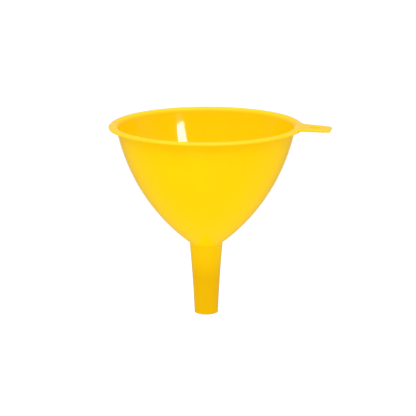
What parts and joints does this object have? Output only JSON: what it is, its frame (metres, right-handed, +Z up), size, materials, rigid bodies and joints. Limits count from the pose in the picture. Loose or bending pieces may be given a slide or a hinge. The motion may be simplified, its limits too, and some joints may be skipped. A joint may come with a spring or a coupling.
{
  "type": "funnel",
  "caption": "Small round funnel with a deep curved bowl, a rolled lip, a tapering spout and a flat hang tab with a hole, for pouring liquid into a narrow neck.",
  "frame": {"origin": "on the funnel's axis at the neck, where the bowl's outside meets the spout and the funnel sits on a container's neck", "axes": "+Z up along the funnel's axis towards the open lip, +X towards the hang tab, +Y to the left of the tab"},
  "size_m": [0.1376, 0.12, 0.1206],
  "materials": {
    "bowl": "glossy yellow polypropylene, slightly translucent",
    "lip": "glossy yellow polypropylene, slightly translucent",
    "spout": "glossy yellow polypropylene, slightly translucent",
    "hang_tab": "glossy yellow polypropylene, slightly translucent"
  },
  "bodies": {
    "root": {"bowl": "bowl", "lip": "lip", "spout": "spout", "hang_tab": "hang_tab"}
  },
  "joints": []
}
